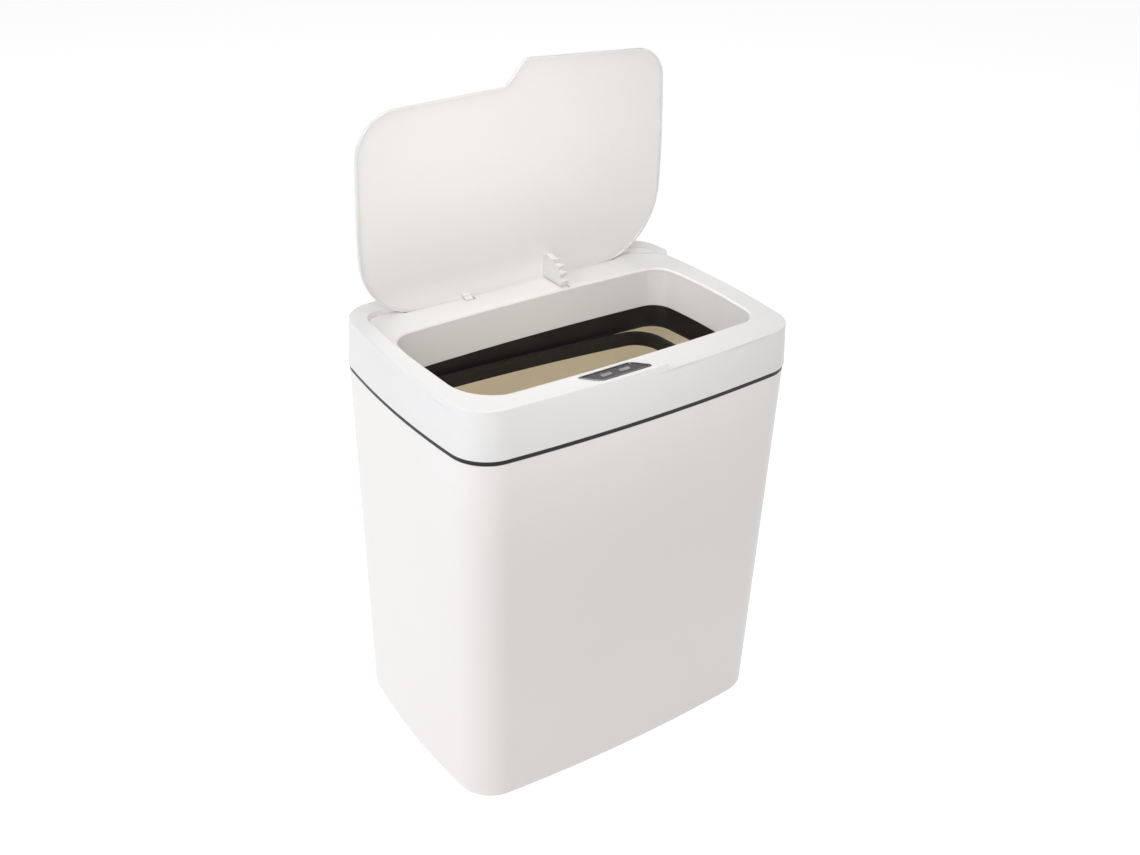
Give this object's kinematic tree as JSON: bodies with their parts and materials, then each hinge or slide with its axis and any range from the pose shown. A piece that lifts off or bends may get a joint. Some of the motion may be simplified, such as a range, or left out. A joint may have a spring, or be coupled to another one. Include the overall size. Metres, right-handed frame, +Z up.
{
  "type": "touch-free waste bin",
  "caption": "Tapered waste bin with a lift-off head, a sensor window and a lid that a geared motor swings open; a loose ring holds the bag.",
  "frame": {"origin": "on the floor, at the middle of the body in plan", "axes": "+Z up, -Y towards the front with the sensor, +X to the right seen from the front"},
  "size_m": [0.3, 0.2144, 0.5247],
  "materials": {
    "white_shell": "satin moulded plastic",
    "white_head": "satin moulded plastic",
    "white_lid": "satin moulded plastic",
    "white_base": "matt moulded plastic",
    "black_frame": "satin moulded plastic",
    "black_ring": "satin moulded plastic",
    "foot_rubber": "matt rubber",
    "steel_screw": "zinc plated",
    "steel_pin": "ground",
    "gear_white": "acetal",
    "brass_gear": "machined brass",
    "motor_steel": "plated can",
    "plate_steel": "stamped plate",
    "bezel_metal": "satin plated",
    "dark_window": "polished smoked plastic",
    "eye_lens": "polished smoked plastic",
    "circuit_board": "solder mask",
    "lamp_clear": "clear epoxy",
    "lamp_dark": "dark epoxy",
    "chip_black": "matt",
    "battery_wrap": "shrink sleeve",
    "contact_nickel": "nickel plated",
    "switch_black": "matt"
  },
  "bodies": {
    "bin": {"body_shell": "white_shell", "rubber_feet": "foot_rubber", "trim_frame": "black_frame"},
    "bag_ring": {"bag_ring": "black_ring"},
    "head": {"head_shell": "white_head", "head_base": "white_base", "base_screws": "steel_screw", "hinge_pins": "steel_pin", "gearbox_plates": "plate_steel", "gear_axles": "steel_pin", "motor_can": "motor_steel", "sensor_bezel": "bezel_metal", "sensor_window": "dark_window", "sensor_lenses": "eye_lens", "sensor_board": "circuit_board", "ir_emitter": "lamp_clear", "ir_receiver": "lamp_dark", "board_screws": "steel_screw", "main_board": "circuit_board", "board_parts": "chip_black", "battery_box": "white_base", "batteries": "battery_wrap", "battery_contacts": "contact_nickel", "switch_housing": "chip_black"},
    "lid": {"lid_panel": "white_lid", "hinge_knuckle": "white_lid", "lid_sector": "gear_white"},
    "output_gear": {"output_gear": "gear_white"},
    "idler_gear": {"idler_gear": "gear_white"},
    "motor_rotor": {"motor_pinion": "brass_gear", "motor_shaft": "steel_pin"},
    "battery_door": {"battery_door": "white_base"},
    "switch_knob": {"switch_knob": "switch_black"}
  },
  "joints": [
    {"name": "head_lift", "type": "slide", "parent": "bin", "child": "head", "axis": [0, 0, 1], "range_m": [0, 0.1]},
    {"name": "bag_ring_lift", "type": "slide", "parent": "bin", "child": "bag_ring", "axis": [0, 0, 1], "range_m": [0, 0.09]},
    {"name": "lid_hinge", "type": "hinge", "parent": "head", "child": "lid", "pos_m": [0, 0.0765, 0.345], "axis": [1, 0, 0], "range_deg": [0, 90]},
    {"name": "output_spin", "type": "hinge", "parent": "head", "child": "output_gear", "pos_m": [0.0375, 0.06308, 0.31485], "axis": [1, 0, 0], "range_deg": [-241, 1]},
    {"name": "idler_spin", "type": "hinge", "parent": "head", "child": "idler_gear", "pos_m": [0.0445, 0.07742, 0.3136], "axis": [1, 0, 0], "range_deg": [-1, 626]},
    {"name": "motor_spin", "type": "hinge", "parent": "head", "child": "motor_rotor", "pos_m": [0.0475, 0.08534, 0.3249], "axis": [1, 0, 0], "range_deg": [-2250, 4]},
    {"name": "battery_door_pull", "type": "slide", "parent": "head", "child": "battery_door", "axis": [0, 0, -1], "range_m": [0, 0.03]},
    {"name": "power_switch", "type": "slide", "parent": "head", "child": "switch_knob", "axis": [1, 0, 0], "range_m": [0, 0.003]}
  ],
  "couplings": [
    {"joint": "output_spin", "follows": "lid_hinge", "ratio": -2.6667},
    {"joint": "idler_spin", "follows": "lid_hinge", "ratio": 6.9333},
    {"joint": "motor_spin", "follows": "lid_hinge", "ratio": -24.96}
  ]
}
